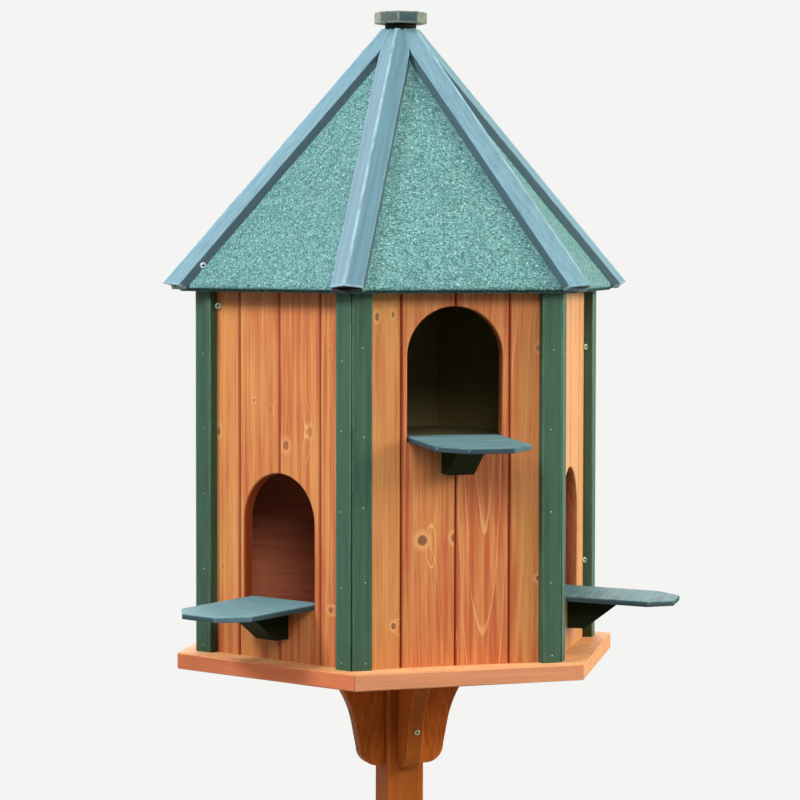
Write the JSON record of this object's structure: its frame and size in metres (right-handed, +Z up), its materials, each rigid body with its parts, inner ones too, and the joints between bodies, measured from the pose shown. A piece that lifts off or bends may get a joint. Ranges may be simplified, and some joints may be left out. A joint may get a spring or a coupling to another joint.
{
  "type": "dovecote",
  "caption": "Six-sided wooden dovecote on a square post, with arched openings, landing plates, corner battens and a steep felted roof with a cap.",
  "frame": {"origin": "centre of the foot of the post, on the ground", "axes": "+Z up along the post; -Y out of the front face of the house; +X to the right of a person who looks at the front"},
  "size_m": [0.664, 0.7334, 1.9074],
  "materials": {
    "post_wood": "softwood, chestnut brown stain",
    "base_wood": "planed softwood, clear finish",
    "board_wood": "matched softwood boards, honey orange stain",
    "inner_wood": "plywood, reddish brown stain",
    "batten_wood": "planed softwood, dark green stain",
    "plate_wood": "planed softwood, grey blue stain",
    "block_wood": "softwood, near black green stain",
    "roof_felt": "boards covered with green mineral roofing felt",
    "capping_wood": "planed softwood, slate blue stain"
  },
  "bodies": {
    "root": {"post": "post_wood", "base_board": "base_wood", "base_edging": "base_wood", "upper_floor": "inner_wood", "lower_partitions": "inner_wood", "plate_blocks": "block_wood", "cap_neck": "block_wood", "roof_cap": "capping_wood", "post_bracket_front": "post_wood", "post_bracket_right": "post_wood", "post_bracket_back": "post_wood", "post_bracket_left": "post_wood", "wall_front": "board_wood", "wall_front_right": "board_wood", "wall_back_right": "board_wood", "wall_back": "board_wood", "wall_back_left": "board_wood", "wall_front_left": "board_wood", "corner_battens_front_right": "batten_wood", "corner_battens_right": "batten_wood", "corner_battens_back_right": "batten_wood", "corner_battens_back_left": "batten_wood", "corner_battens_left": "batten_wood", "corner_battens_front_left": "batten_wood", "landing_plate_front": "plate_wood", "landing_plate_front_right": "plate_wood", "landing_plate_back": "plate_wood", "landing_plate_front_left": "plate_wood", "roof_panel_front": "roof_felt", "roof_panel_front_right": "roof_felt", "roof_panel_back_right": "roof_felt", "roof_panel_back": "roof_felt", "roof_panel_back_left": "roof_felt", "roof_panel_front_left": "roof_felt", "hip_capping_front_right": "capping_wood", "hip_capping_right": "capping_wood", "hip_capping_back_right": "capping_wood", "hip_capping_back_left": "capping_wood", "hip_capping_left": "capping_wood", "hip_capping_front_left": "capping_wood"}
  },
  "joints": []
}
